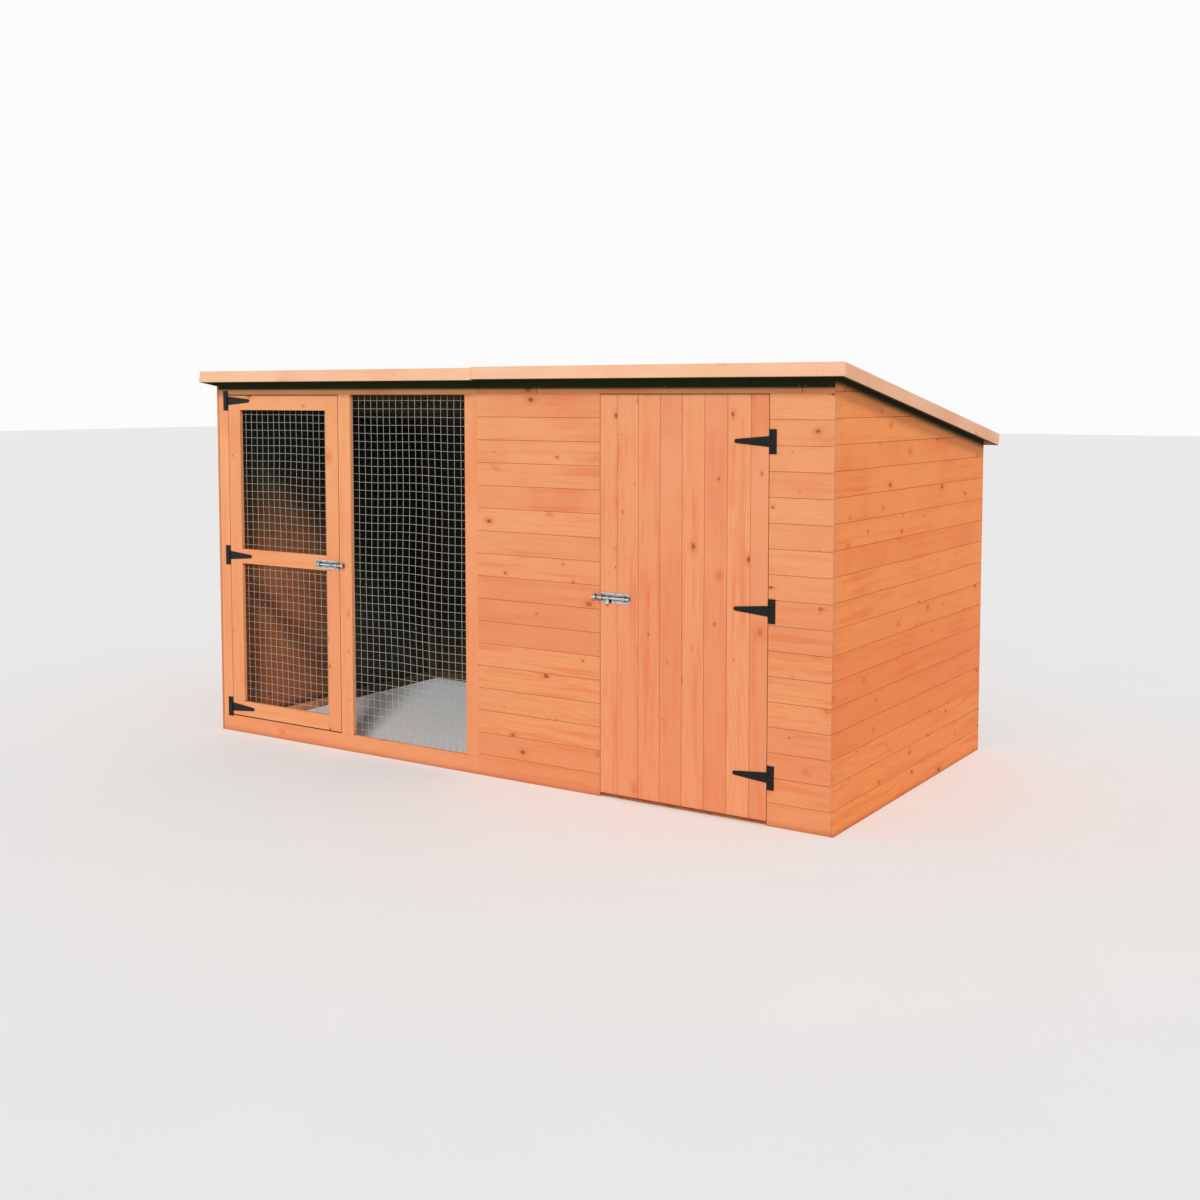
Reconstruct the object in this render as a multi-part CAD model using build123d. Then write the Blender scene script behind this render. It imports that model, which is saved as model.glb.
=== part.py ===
from build123d import *
import math
import os

# Covered dog pen: a timber kennel with a boarded door on the right and a roofed,
# mesh-fronted run with a framed mesh door on the left, under one pent roof in two sections.
# Sizes are millimetres. While it is drawn, X is 0 at the run's left wall and grows to the
# right, Y is 0 at the front face and grows to the back, and Z is 0 on the ground.
# Everything is moved at the end so that the origin is under the middle of the whole pen.

# Plan of the two buildings
run_width = 1645.0
kennel_width = 1709.0
pen_depth = 1674.0

# Tongued and grooved boards
board_cover = 100.0
board_thickness = 12.0
tongue_thickness = 4.0
tongue_height = 6.0
groove_play = 0.2
vee_chamfer = 1.5
least_rip = 15.0

# Wall framing; the seam under the boards over the door sets the height of all the courses
stud_width = 44.0
stud_depth = 34.0
header_drop = 117.5
side_course_shift = 7.0
header_joints = (320.0, 1563.0)

# Run front, made of wide planed timber
front_timber = 20.0
run_left_post_width = 65.0
run_middle_post_width = 74.0
run_right_post_width = 71.0
run_bottom_rail_height = 80.0
run_top_rail_drop = 120.0
door_stop_width = 30.0
door_stop_depth = 18.0

# Run door
run_door_width = 734.0
run_door_stile_width = 80.0
run_door_rail_height = 71.0
run_door_middle_rail_z = 891.0
run_door_foot_gap = 6.0
run_door_head_gap = 4.0

# Kennel door
kennel_door_width = 777.0
kennel_door_left = 647.0
kennel_door_foot_z = 19.0
kennel_door_head_gap = 3.5
door_board_cover = 102.7
door_first_cover = 83.0
door_ledge_height = 70.0
door_ledge_depth = 20.0
door_ledge_clearance = 6.0
door_brace_width = 62.0

# Gaps shared by both doors
door_side_gap = 3.0
door_seat_gap = 0.5
door_stop_lap = 12.0

# Welded mesh
mesh_pitch = 38.0
mesh_wire = 2.0
mesh_lap = 20.0

# Kennel floor
floor_bearer_height = 50.0
floor_bearer_count = 4
floor_edge_gap = 0.8

# Opening for the dog in the wall between kennel and run
pop_hole_y = 320.0
pop_hole_width = 450.0
pop_hole_sill_z = 94.5
pop_hole_height = 700.0

# Pent roof
roof_pitch_deg = 9.6
roof_top_z = 1812.0
roof_front_overhang = 65.0
roof_back_overhang = 61.0
roof_right_overhang = 56.0
roof_left_overhang = 46.0
fascia_joint_offset = 20.0
roof_joint_gap = 1.0
run_roof_drop = 4.0
roof_board_thickness = 12.0
roof_board_count = 2
roof_board_gap = 1.0
felt_thickness = 2.0
fascia_height = 55.0
fascia_thickness = 18.0
purlin_height = 44.0
purlin_width = 34.0
purlin_gap = 1.0
seat_gap = 0.3

# Tee hinges
hinge_plate_width = 32.0
hinge_plate_height = 96.0
hinge_sheet = 2.5
hinge_strap_length = 150.0
hinge_strap_root = 41.0
hinge_strap_tip = 16.0
hinge_barrel_radius = 4.7
hinge_barrel_height = 37.0
hinge_middle_knuckle = 22.0
hinge_pin_radius = 2.5
hinge_pin_grip = 0.02
hinge_running_clearance = 0.08
hinge_part_gap = 0.4
hinge_edge_margin = 0.8
hinge_plate_over_gap = 2.0
kennel_low_hinge_z = 193.0
kennel_middle_hinge_z = 850.0
kennel_top_hinge_drop = 184.5
run_low_hinge_z = 124.0
run_middle_hinge_z = 892.0
run_top_hinge_drop = 30.0

# Sliding bolts
bolt_plate_length = 144.0
bolt_plate_height = 44.0
bolt_plate_thickness = 2.0
bolt_plate_inset = 3.0
bolt_bar_radius = 5.0
bolt_bar_length = 160.0
bolt_collar_radius = 6.5
bolt_collar_grip = 0.02
bolt_handle_width = 12.0
bolt_handle_reach = 24.0
bolt_handle_thickness = 3.0
bolt_slide_gap = 0.5
bolt_stop_gap = 1.0
bolt_guide_width = 10.0
bolt_guide_sheet = 1.8
bolt_guide_flange = 7.0
bolt_near_guide_inset = 0.5
bolt_far_guide_inset = 22.0
keeper_width = 18.0
keeper_clear = 3.0
keeper_pass = 2.0
keeper_edge_gap = 14.0
kennel_bolt_z = 847.0
run_bolt_z = 885.0
kennel_handle_turn_deg = 75.0
run_handle_turn_deg = -10.0

# Places worked out from the sizes above
pen_width = run_width + kennel_width
kennel_left = run_width
frame_line = board_thickness + stud_depth
pitch = math.radians(roof_pitch_deg)
roof_stack = felt_thickness + roof_board_thickness
fascia_joint_x = run_width + fascia_joint_offset
header_z = roof_top_z - header_drop
run_top_rail_z = roof_top_z - run_top_rail_drop
kennel_hinge_heights = (kennel_low_hinge_z, kennel_middle_hinge_z, header_z - kennel_top_hinge_drop)
run_hinge_heights = (run_low_hinge_z, run_middle_hinge_z, run_top_rail_z - run_top_hinge_drop)
roof_run = (pen_depth + roof_front_overhang + roof_back_overhang) / math.cos(pitch)
pen_left_edge = -roof_left_overhang
pen_right_edge = pen_width + roof_right_overhang
pen_front_edge = -roof_front_overhang - (fascia_height + run_roof_drop) * math.sin(pitch)
pen_back_edge = pen_depth + roof_back_overhang
middle = Vector((pen_left_edge + pen_right_edge) / 2, (pen_front_edge + pen_back_edge) / 2, 0)

run_opening_left = board_thickness + run_left_post_width
run_door_left = run_opening_left + door_side_gap
run_door_right = run_door_left + run_door_width
run_middle_post_left = run_door_right + door_side_gap
run_mesh_left = run_middle_post_left + run_middle_post_width
run_mesh_right = run_width - run_right_post_width
run_door_foot = run_bottom_rail_height + run_door_foot_gap
run_door_head = run_top_rail_z - run_door_head_gap

kennel_door_x0 = kennel_left + kennel_door_left
kennel_door_x1 = kennel_door_x0 + kennel_door_width
kennel_opening_x0 = kennel_door_x0 - door_side_gap
kennel_opening_x1 = kennel_door_x1 + door_side_gap
kennel_door_head = header_z - kennel_door_head_gap
floor_top_z = floor_bearer_height + board_thickness


def block(x0, x1, y0, y1, z0, z1):
    """A squared timber between two corners."""
    return Pos(x0, y0, z0) * Box(x1 - x0, y1 - y0, z1 - z0, align=(Align.MIN,) * 3)


def prism(points, direction):
    """A flat outline of 3-D points pushed along a direction."""
    face = Face(Wire.make_polygon([Vector(*p) for p in points], close=True))
    return Solid.extrude(face, Vector(*direction))


def solids(shape):
    """The separate solids that a cut has left."""
    return list(shape.solids())


def tongued_board(length, cover, groove=True, tongue=True, vee=vee_chamfer):
    """A board along X with its show face at Y 0, its groove below and its tongue above."""
    middle_y = board_thickness / 2
    half_tongue = tongue_thickness / 2
    half_groove = half_tongue + groove_play
    groove_depth = tongue_height + groove_play
    outline = [(vee, 0), (0, vee)] if groove and vee else [(0, 0)]
    outline += [(0, cover - vee), (vee, cover)] if tongue and vee else [(0, cover)]
    if tongue:
        outline += [
            (middle_y - half_tongue, cover),
            (middle_y - half_tongue, cover + tongue_height),
            (middle_y + half_tongue, cover + tongue_height),
            (middle_y + half_tongue, cover),
        ]
    outline += [(board_thickness, cover), (board_thickness, 0)]
    if groove:
        outline += [
            (middle_y + half_groove, 0),
            (middle_y + half_groove, groove_depth),
            (middle_y - half_groove, groove_depth),
            (middle_y - half_groove, 0),
        ]
    return prism([(0, y, z) for y, z in outline], (length, 0, 0))


def courses(seam, low, high, cover=board_cover):
    """Heights of the boards between two ends, laid in steps of the cover from one seam."""
    first = math.ceil((low + least_rip - seam) / cover)
    last = math.floor((high - least_rip - seam) / cover)
    seams = [seam + step * cover for step in range(first, last + 1)]
    return list(zip([low] + seams, seams + [high]))


def lay_boards(stations, plane_at, length, vee=vee_chamfer):
    """Boards between the given stations; the outermost edges are sawn flat."""
    boards = []
    for low, high in stations:
        groove = low != stations[0][0]
        tongue = high != stations[-1][1]
        boards.append(plane_at(low).location * tongued_board(length, high - low, groove, tongue, vee))
    return boards


def facing_front(x, y):
    """Places for level boards by height, their show face to the front and their left end at X."""
    return lambda z: Plane(origin=(x, y, z), x_dir=(1, 0, 0), z_dir=(0, 0, 1))


def facing_back(x, y):
    """The same for a wall that shows to the back, seen from behind."""
    return lambda z: Plane(origin=(x, y, z), x_dir=(-1, 0, 0), z_dir=(0, 0, 1))


def facing_right(x, y):
    """The same for a wall that shows to the right."""
    return lambda z: Plane(origin=(x, y, z), x_dir=(0, 1, 0), z_dir=(0, 0, 1))


def facing_left(x, y):
    """The same for a wall that shows to the left."""
    return lambda z: Plane(origin=(x, y, z), x_dir=(0, -1, 0), z_dir=(0, 0, 1))


def facing_up(x0, x1, y, z):
    """Places for boards that run front to back, laid side by side from the right end."""
    return lambda x: Plane(origin=(x0 + x1 - x, y, z), x_dir=(0, 1, 0), z_dir=(-1, 0, 0))


def roof_underside(y, drop=0.0):
    """Height of the wall tops under the roof boards at a depth Y."""
    fall = (y + roof_front_overhang) * math.tan(pitch)
    return roof_top_z - fall - (roof_stack + drop) / math.cos(pitch) - seat_gap


def roof_place(drop):
    """The sloping frame: X along the eaves, Y down the slope, Z square off the roof."""
    return Pos(0, -roof_front_overhang, roof_top_z) * Rot(-roof_pitch_deg, 0, 0) * Pos(0, 0, -drop)


def above_roof(drop):
    """The space above the wall tops, for sawing boards to the slope."""
    reach = 2 * (pen_width + pen_depth)
    low = -roof_stack - seat_gap * math.cos(pitch)
    return roof_place(drop) * block(-reach, reach, -reach, reach, low, low + reach)


def saw_to_slope(boards, drop):
    """Boards cut off along the roof, the ones below it left whole."""
    lowest = roof_underside(pen_depth, drop)
    cutter = above_roof(drop)
    kept = []
    for board in boards:
        if board.bounding_box().max.Z > lowest:
            kept += solids(board - cutter)
        else:
            kept.append(board)
    return kept


def sloped_block(x0, x1, y0, y1, z0, drop, below=0.0):
    """A member whose top is cut to the slope, a given depth below the roof boards."""
    lower = below / math.cos(pitch)
    front, back = roof_underside(y0, drop) - lower, roof_underside(y1, drop) - lower
    return prism([(x0, y0, z0), (x0, y1, z0), (x0, y1, back), (x0, y0, front)], (x1 - x0, 0, 0))


def sloping_rail(x0, x1, y0, y1, drop):
    """The top rail of a side wall, which follows the slope."""
    deep = stud_width / math.cos(pitch)
    front, back = roof_underside(y0, drop), roof_underside(y1, drop)
    outline = [(x0, y0, front - deep), (x0, y1, back - deep), (x0, y1, back), (x0, y0, front)]
    return prism(outline, (x1 - x0, 0, 0))


def side_frame(x0, y0, y1, drop, openings=()):
    """Bottom rail, studs and sloping top rail of a side wall; openings have a stud each side."""
    x1 = x0 + stud_depth
    middle_y = (y0 + y1 - stud_width) / 2
    stations = [y0, middle_y, y1 - stud_width]
    for low, high, _ in openings:
        stations = [y for y in stations if y + stud_width < low or y > high]
        stations += [low - stud_width, high]
    members = [block(x0, x1, y0, y1, 0, stud_width), sloping_rail(x0, x1, y0, y1, drop)]
    for y in sorted(stations):
        members.append(sloped_block(x0, x1, y, y + stud_width, stud_width, drop, stud_width))
    for low, high, top in openings:
        members.append(block(x0, x1, low, high, top, top + stud_width))
    return members


def back_frame(x0, x1, drop):
    """Bottom rail, top rail and studs behind the boards of a back wall."""
    y0, y1 = pen_depth - frame_line, pen_depth - board_thickness
    top = roof_underside(y1, drop)
    members = [block(x0, x1, y0, y1, 0, stud_width), block(x0, x1, y0, y1, top - stud_width, top)]
    for x in (x0, (x0 + x1 - stud_width) / 2, x1 - stud_width):
        members.append(block(x, x + stud_width, y0, y1, stud_width, top - stud_width))
    return members


# Run front frame: three posts between a bottom rail and a top rail
def run_front_post(x0, width):
    return [block(x0, x0 + width, 0, front_timber, run_bottom_rail_height, run_top_rail_z)]


def run_front_bottom_rail():
    return [block(board_thickness, run_width, 0, front_timber, 0, run_bottom_rail_height)]


def run_front_top_rail():
    top = roof_underside(front_timber, run_roof_drop)
    return [block(board_thickness, run_width, 0, front_timber, run_top_rail_z, top)]


def run_door_stop():
    x0 = run_door_right - door_stop_lap
    y1 = front_timber + door_stop_depth
    return [block(x0, x0 + door_stop_width, front_timber, y1, run_bottom_rail_height, run_top_rail_z)]


def wire_panel(x0, x1, z0, z1, y):
    """Welded mesh: upright wires against the frame, level wires welded on behind them."""
    columns = math.floor((x1 - x0 - mesh_wire) / mesh_pitch)
    rows = math.floor((z1 - z0 - mesh_wire) / mesh_pitch)
    first_x = (x0 + x1 - columns * mesh_pitch - mesh_wire) / 2
    first_z = (z0 + z1 - rows * mesh_pitch - mesh_wire) / 2
    wires = []
    for column in range(columns + 1):
        x = first_x + column * mesh_pitch
        wires.append(block(x, x + mesh_wire, y, y + mesh_wire, z0, z1))
    for row in range(rows + 1):
        z = first_z + row * mesh_pitch
        wires.append(block(x0, x1, y + mesh_wire, y + 2 * mesh_wire, z, z + mesh_wire))
    return wires


def run_front_mesh():
    low, high = run_bottom_rail_height - mesh_lap, run_top_rail_z + mesh_lap
    return wire_panel(run_mesh_left - mesh_lap, run_mesh_right + mesh_lap, low, high, front_timber)


# Boarded walls
def run_left_wall_boards():
    stations = courses(header_z + side_course_shift, 0, roof_underside(0, run_roof_drop) + tongue_height)
    boards = lay_boards(stations, facing_left(0, pen_depth), pen_depth)
    return saw_to_slope(boards, run_roof_drop)


def run_back_wall_boards():
    stations = courses(header_z, 0, roof_underside(pen_depth, run_roof_drop))
    return lay_boards(stations, facing_back(run_width, pen_depth), run_width - board_thickness, vee=0)


def kennel_side_wall_boards():
    stations = courses(header_z + side_course_shift, 0, roof_underside(0) + tongue_height)
    return saw_to_slope(lay_boards(stations, facing_right(pen_width, 0), pen_depth), 0)


def kennel_back_wall_boards():
    stations = courses(header_z, 0, roof_underside(pen_depth))
    length = kennel_width - board_thickness
    return lay_boards(stations, facing_back(pen_width - board_thickness, pen_depth), length, vee=0)


def kennel_front_side_boards(x0, x1):
    return lay_boards(courses(header_z, 0, header_z), facing_front(x0, 0), x1 - x0)


def kennel_header_boards():
    """The course over the door, in three lengths butted end to end."""
    ends = [kennel_left] + [kennel_left + x for x in header_joints] + [pen_width - board_thickness]
    top = roof_underside(board_thickness)
    boards = []
    for x0, x1 in zip(ends, ends[1:]):
        for low, high in courses(header_z, header_z, top):
            joined = low != header_z
            board = tongued_board(x1 - x0, high - low, groove=joined, tongue=high != top)
            boards.append(Pos(x0, 0, low) * board)
    return boards


def kennel_front_frame():
    y0, y1 = board_thickness, frame_line
    x0, x1 = kennel_left + board_thickness, pen_width - board_thickness
    head = kennel_door_head - door_stop_lap
    left_jamb = kennel_door_x0 + door_stop_lap - stud_width
    right_jamb = kennel_door_x1 - door_stop_lap
    members = [block(x0, x1, y0, y1, 0, stud_width), block(x0, x1, y0, y1, head, head + stud_width)]
    for x in (x0, left_jamb, right_jamb, x1 - stud_width):
        members.append(block(x, x + stud_width, y0, y1, stud_width, head))
    return members


def partition_boards():
    """The wall between kennel and run, with the dog's opening sawn out of it."""
    stations = courses(header_z, 0, roof_underside(0) + tongue_height)
    length = pen_depth - 2 * board_thickness
    boards = lay_boards(stations, facing_left(kennel_left, pen_depth - board_thickness), length, vee=0)
    opening = block(
        kennel_left - board_thickness,
        kennel_left + 2 * board_thickness,
        pop_hole_y,
        pop_hole_y + pop_hole_width,
        pop_hole_sill_z,
        pop_hole_sill_z + pop_hole_height,
    )
    sawn = []
    for board in saw_to_slope(boards, 0):
        box = board.bounding_box()
        crossed = box.max.Z > pop_hole_sill_z and box.min.Z < pop_hole_sill_z + pop_hole_height
        sawn += solids(board - opening) if crossed else [board]
    return sawn


def partition_frame():
    opening = (pop_hole_y, pop_hole_y + pop_hole_width, pop_hole_sill_z + pop_hole_height)
    x0 = kennel_left + board_thickness
    return side_frame(x0, frame_line, pen_depth - frame_line, 0, [opening])


# Kennel floor on its bearers
def kennel_floor_boards():
    x0 = kennel_left + frame_line + floor_edge_gap
    x1 = pen_width - frame_line - floor_edge_gap
    y0 = frame_line + floor_edge_gap
    length = pen_depth - 2 * y0
    return lay_boards(courses(x0 + board_cover, x0, x1), facing_up(x0, x1, y0, floor_top_z), length, vee=0)


def kennel_floor_bearers():
    x0 = kennel_left + frame_line + floor_edge_gap
    x1 = pen_width - frame_line - floor_edge_gap
    y0 = frame_line + floor_edge_gap
    step = (pen_depth - 2 * y0 - stud_depth) / (floor_bearer_count - 1)
    bearers = []
    for number in range(floor_bearer_count):
        y = y0 + number * step
        bearers.append(block(x0, x1, y, y + stud_depth, 0, floor_bearer_height))
    return bearers


# Roof sections, drawn flat and tipped to the slope
def roof_boards(x0, x1, drop):
    """Sheets of board laid side by side, with their joints running down the slope."""
    step = (x1 - x0 + roof_board_gap) / roof_board_count
    y1 = roof_run - fascia_thickness
    top = -felt_thickness
    sheets = []
    for number in range(roof_board_count):
        x = x0 + number * step
        sheet = block(x, x + step - roof_board_gap, fascia_thickness, y1, top - roof_board_thickness, top)
        sheets.append(roof_place(drop) * sheet)
    return sheets


def roof_felt(x0, x1, drop):
    sheet = block(x0, x1, fascia_thickness, roof_run - fascia_thickness, -felt_thickness, 0)
    return [roof_place(drop) * sheet]


def roof_fascia(x0, x1, front, drop):
    y0 = 0 if front else roof_run - fascia_thickness
    return [roof_place(drop) * block(x0, x1, y0, y0 + fascia_thickness, -fascia_height, 0)]


def roof_verge(x0, drop):
    y1 = roof_run - fascia_thickness
    return [roof_place(drop) * block(x0, x0 + fascia_thickness, fascia_thickness, y1, -fascia_height, 0)]


def roof_purlins(x0, x1, front_line, back_line, drop):
    """Three purlins under the boards: inside the front wall, half way and inside the back wall."""
    deep = roof_stack + purlin_height
    front = (front_line + purlin_gap + roof_front_overhang + deep * math.sin(pitch)) / math.cos(pitch)
    back_top = back_line - purlin_gap + roof_front_overhang + roof_stack * math.sin(pitch)
    back = back_top / math.cos(pitch) - purlin_width
    purlins = []
    for y in (front, (front + back) / 2, back):
        purlins.append(roof_place(drop) * block(x0, x1, y, y + purlin_width, -deep, -roof_stack))
    return purlins


# Run door
def run_door_stile(x0):
    y1 = front_timber - door_seat_gap
    return [block(x0, x0 + run_door_stile_width, -door_seat_gap, y1, run_door_foot, run_door_head)]


def run_door_rail(z0):
    x0 = run_door_left + run_door_stile_width
    x1 = run_door_right - run_door_stile_width
    y1 = front_timber - door_seat_gap
    return [block(x0, x1, -door_seat_gap, y1, z0, z0 + run_door_rail_height)]


run_door_rail_heights = (
    run_door_foot,
    run_door_middle_rail_z - run_door_rail_height / 2,
    run_door_head - run_door_rail_height,
)


def run_door_mesh(lower_rail, upper_rail):
    x0 = run_door_left + run_door_stile_width - mesh_lap
    x1 = run_door_right - run_door_stile_width + mesh_lap
    z0 = run_door_rail_heights[lower_rail] + run_door_rail_height - mesh_lap
    z1 = run_door_rail_heights[upper_rail] + mesh_lap
    return wire_panel(x0, x1, z0, z1, front_timber - door_seat_gap)


# Kennel door
def kennel_door_boards():
    seams = [kennel_door_x0 + door_first_cover]
    while seams[-1] + door_board_cover < kennel_door_x1 - least_rip:
        seams.append(seams[-1] + door_board_cover)
    edges = [kennel_door_x0] + seams + [kennel_door_x1]
    height = kennel_door_head - kennel_door_foot_z
    boards = []
    for x0, x1 in zip(edges, edges[1:]):
        groove, tongue = x1 != edges[-1], x0 != edges[0]
        upright = Plane(origin=(x1, -door_seat_gap, kennel_door_foot_z), x_dir=(0, 0, 1), z_dir=(-1, 0, 0))
        boards.append(upright.location * tongued_board(height, x1 - x0, groove, tongue))
    return boards


door_ledge_x0 = kennel_door_x0 + door_stop_lap + door_ledge_clearance
door_ledge_x1 = kennel_door_x1 - door_stop_lap - door_ledge_clearance
door_back = board_thickness - door_seat_gap


def kennel_door_ledges():
    ledges = []
    for z in kennel_hinge_heights:
        z0 = z - door_ledge_height / 2
        y1 = door_back + door_ledge_depth
        ledges.append(block(door_ledge_x0, door_ledge_x1, door_back, y1, z0, z0 + door_ledge_height))
    return ledges


def kennel_door_braces():
    """A brace in each bay, rising from the hinge side, its ends sawn to the ledges."""
    braces = []
    for low, high in zip(kennel_hinge_heights, kennel_hinge_heights[1:]):
        z0, z1 = low + door_ledge_height / 2, high - door_ledge_height / 2
        width = door_ledge_x1 - door_ledge_x0
        foot = door_brace_width * math.hypot(width, z1 - z0) / (z1 - z0)
        outline = [
            (door_ledge_x1 - foot, door_back, z0),
            (door_ledge_x1, door_back, z0),
            (door_ledge_x0 + foot, door_back, z1),
            (door_ledge_x0, door_back, z1),
        ]
        braces.append(prism(outline, (0, door_ledge_depth, 0)))
    return braces


# Tee hinges, drawn with the pin on Z, the strap towards -X and the wall face at +Y
hinge_axis_depth = hinge_barrel_radius + seat_gap
hinge_plate_left = -hinge_barrel_radius - hinge_edge_margin
hinge_pin_from_frame = -hinge_plate_left - hinge_plate_over_gap


def barrel_piece(radius, low, high, bore):
    ring = Pos(0, 0, low) * Cylinder(radius, high - low, align=(Align.CENTER, Align.CENTER, Align.MIN))
    hole = Cylinder(bore, 4 * hinge_barrel_height)
    return ring, hole


def hinge_plate():
    """The cross plate with its two end knuckles."""
    back = hinge_axis_depth
    front = back - hinge_sheet
    right = hinge_plate_left + hinge_plate_width
    half = hinge_plate_height / 2
    plate = block(hinge_plate_left, right, front, back, -half, half)
    slot_half = hinge_middle_knuckle / 2 + hinge_part_gap
    slot_right = hinge_barrel_radius + hinge_part_gap
    plate = plate - block(hinge_plate_left - 1, slot_right, front - 1, back + 1, -slot_half, slot_half)
    bore = hinge_pin_radius + hinge_pin_grip
    for low, high in ((slot_half, hinge_barrel_height / 2), (-hinge_barrel_height / 2, -slot_half)):
        ring, hole = barrel_piece(hinge_barrel_radius, low, high, bore)
        plate = plate + ring - hole
    return plate


def hinge_strap():
    """The tapering strap with a round tip, curled round the pin at its root."""
    back = hinge_axis_depth - door_seat_gap
    front = back - hinge_sheet
    root_x = hinge_plate_left - hinge_part_gap
    tip_radius = hinge_strap_tip / 2
    tip_x = hinge_plate_left - hinge_strap_length + tip_radius
    half_root = hinge_strap_root / 2
    outline = Polyline(
        (tip_x, tip_radius), (root_x, half_root), (root_x, -half_root), (tip_x, -tip_radius)
    )
    tip = ThreePointArc((tip_x, -tip_radius), (tip_x - tip_radius, 0), (tip_x, tip_radius))
    flat = Plane(origin=(0, back, 0), x_dir=(1, 0, 0), z_dir=(0, -1, 0))
    blade = flat.location * extrude(make_face([outline, tip]), hinge_sheet)
    neck_half = hinge_middle_knuckle / 2
    neck = block(root_x - 1, 0, front, back, -neck_half, neck_half)
    ring, hole = barrel_piece(
        hinge_barrel_radius, -neck_half, neck_half, hinge_pin_radius + hinge_running_clearance
    )
    return blade + neck + ring - hole


def hinge_pin():
    return Cylinder(hinge_pin_radius, hinge_barrel_height)


kennel_pin_x = kennel_opening_x1 + hinge_pin_from_frame
run_pin_x = run_opening_left - hinge_pin_from_frame


def hinge_set(piece, x, heights, mirrored):
    """One piece of each hinge at its height; a left-hung door has them turned over."""
    turn = Rot(0, 180, 0) if mirrored else Rot(0, 0, 0)
    return [Pos(x, -hinge_axis_depth, z) * turn * piece for z in heights]


# Sliding bolts, drawn with the door face at Y 0, the bar on X and the keeper at -X
bolt_axis_depth = bolt_plate_thickness + bolt_collar_radius + bolt_slide_gap
bolt_throw = keeper_clear + keeper_width + keeper_pass


def saddle(x0, width, foot_y):
    """A pressed strap that arches over the bar, with a flange above and below."""
    inner = bolt_bar_radius + bolt_slide_gap
    outer = inner + bolt_guide_sheet
    half = outer + bolt_guide_flange
    axis_y = -bolt_axis_depth
    arch = Pos(x0 + width / 2, axis_y, 0) * Cylinder(outer, width, rotation=(0, 90, 0))
    arch = arch + block(x0, x0 + width, axis_y, foot_y, -outer, outer)
    arch = arch + block(x0, x0 + width, foot_y - bolt_guide_sheet, foot_y, -half, half)
    hollow = Pos(x0 + width / 2, axis_y, 0) * Cylinder(inner, 2 * width, rotation=(0, 90, 0))
    hollow = hollow + block(x0 - 1, x0 + width + 1, axis_y, foot_y + 1, -inner, inner)
    return arch - hollow


def bolt_plate():
    """The base plate with two guides for the bar."""
    half = bolt_plate_height / 2
    plate = block(0, bolt_plate_length, -bolt_plate_thickness, 0, -half, half)
    plate = plate + saddle(bolt_near_guide_inset, bolt_guide_width, -bolt_plate_thickness)
    far = bolt_plate_length - bolt_far_guide_inset - bolt_guide_width
    return plate + saddle(far, bolt_guide_width, -bolt_plate_thickness)


def bolt_bar(rest_x):
    bar = Pos(rest_x + bolt_bar_length / 2, -bolt_axis_depth, 0)
    return bar * Cylinder(bolt_bar_radius, bolt_bar_length, rotation=(0, 90, 0))


def bolt_handle(turn_deg):
    """A collar pressed on the bar, with a flat tab to pull it by."""
    near_guide = bolt_near_guide_inset + bolt_guide_width
    x = near_guide + bolt_stop_gap + bolt_throw + bolt_handle_width / 2
    collar = Cylinder(bolt_collar_radius, bolt_handle_width, rotation=(0, 90, 0))
    tab = block(
        -bolt_handle_width / 2,
        bolt_handle_width / 2,
        -bolt_handle_reach,
        0,
        -bolt_handle_thickness / 2,
        bolt_handle_thickness / 2,
    )
    hole = Cylinder(bolt_bar_radius + bolt_collar_grip, 2 * bolt_handle_width, rotation=(0, 90, 0))
    handle = collar + Rot(turn_deg, 0, 0) * tab - hole
    return Pos(x, -bolt_axis_depth, 0) * handle


def keeper():
    """The saddle on the frame that the bar shoots into, drawn on the frame's face."""
    return saddle(0, keeper_width, door_seat_gap)


bolt_rest_x = -bolt_plate_inset - door_side_gap - keeper_edge_gap + keeper_clear
keeper_x = bolt_rest_x - keeper_clear - keeper_width


def bolt_place(door_edge, z, mirrored):
    """Puts a bolt's pieces on a door, the keeper towards the lock side of the door edge."""
    sign = -1 if mirrored else 1
    turn = Rot(0, 180, 0) if mirrored else Rot(0, 0, 0)
    return Pos(door_edge + sign * bolt_plate_inset, -door_seat_gap, z) * turn


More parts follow.
